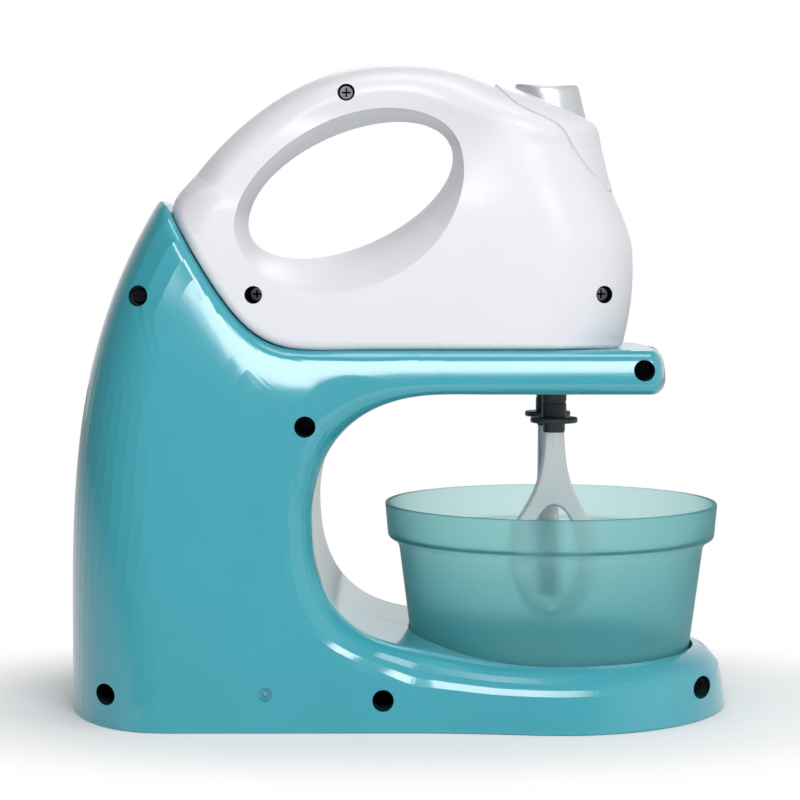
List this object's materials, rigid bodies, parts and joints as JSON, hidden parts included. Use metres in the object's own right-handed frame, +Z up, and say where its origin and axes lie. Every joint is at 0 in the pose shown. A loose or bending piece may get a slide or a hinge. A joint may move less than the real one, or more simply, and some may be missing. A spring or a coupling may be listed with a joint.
{
  "type": "hand mixer",
  "caption": "Toy hand mixer with whisk beaters, docked on a C-shaped stand whose round base holds a mixing bowl.",
  "frame": {"origin": "on the base plane, in the middle of the overall length and in the parting plane of the housings", "axes": "+Z up, +X from the stand's back towards the mixer's nose, +Y to the left seen from the back"},
  "size_m": [0.2464, 0.1316, 0.24],
  "materials": {
    "teal_abs": "glossy moulded ABS, teal",
    "white_abs": "glossy moulded ABS, white",
    "frosted_teal": "frosted translucent polypropylene, teal",
    "black_plastic": "black moulded plastic",
    "silver_button": "silver-painted plastic",
    "silver_whisk": "silver-painted plastic",
    "screw_steel": "zinc-plated steel",
    "contact_brass": "nickel-plated brass",
    "motor_can": null,
    "cell_jacket": null,
    "wire_sheath": "PVC insulation"
  },
  "bodies": {
    "stand": {"stand_right_shell": "teal_abs", "stand_left_shell": "teal_abs", "stand_screws": "screw_steel"},
    "bowl": {"bowl": "frosted_teal"},
    "mixer": {"mixer_right_housing": "white_abs", "mixer_left_housing": "white_abs", "housing_screws": "screw_steel", "control_cowl": "white_abs", "button_spring": "screw_steel", "switch_block": "black_plastic", "switch_blade": "contact_brass", "motor": "motor_can", "motor_cap": "black_plastic", "gearbox_frame": "white_abs", "gearbox_cover": "white_abs", "battery_box": "black_plastic", "batteries": "cell_jacket", "battery_contacts": "contact_brass", "battery_door": "white_abs", "door_screw": "screw_steel", "lead_wires": "wire_sheath"},
    "button": {"power_button": "silver_button"},
    "worm": {"worm": "white_abs"},
    "right_drive": {"right_worm_wheel": "black_plastic", "right_drive_socket": "black_plastic"},
    "left_drive": {"left_worm_wheel": "black_plastic", "left_drive_socket": "black_plastic"},
    "right_beater": {"right_beater_stem": "black_plastic", "right_whisk": "silver_whisk"},
    "left_beater": {"left_beater_stem": "black_plastic", "left_whisk": "silver_whisk"}
  },
  "joints": [
    {"name": "mixer_lift", "type": "slide", "parent": "stand", "child": "mixer", "axis": [0, 0, 1], "range_m": [0, 0.105]},
    {"name": "bowl_lift", "type": "slide", "parent": "stand", "child": "bowl", "axis": [0, 0, 1], "range_m": [0, 0.008]},
    {"name": "button_press", "type": "slide", "parent": "mixer", "child": "button", "axis": [0, 0, -1], "range_m": [0, 0.003], "stiffness_N_per_m": 300, "springref_m": -0.003, "deforming": ["button_spring"]},
    {"name": "worm_spin", "type": "hinge", "parent": "mixer", "child": "worm", "pos_m": [0.057, 0, 0.165], "axis": [1, 0, 0], "continuous": true},
    {"name": "right_beater_spin", "type": "hinge", "parent": "mixer", "child": "right_drive", "pos_m": [0.057, -0.017, 0.165], "axis": [0, 0, 1], "continuous": true},
    {"name": "left_beater_spin", "type": "hinge", "parent": "mixer", "child": "left_drive", "pos_m": [0.057, 0.017, 0.165], "axis": [0, 0, 1], "continuous": true},
    {"name": "right_beater_pull", "type": "slide", "parent": "right_drive", "child": "right_beater", "axis": [0, 0, -1], "range_m": [0, 0.01]},
    {"name": "left_beater_pull", "type": "slide", "parent": "left_drive", "child": "left_beater", "axis": [0, 0, -1], "range_m": [0, 0.01]}
  ],
  "couplings": [
    {"joint": "worm_spin", "follows": "right_beater_spin", "ratio": 26},
    {"joint": "left_beater_spin", "follows": "right_beater_spin", "ratio": -1}
  ]
}
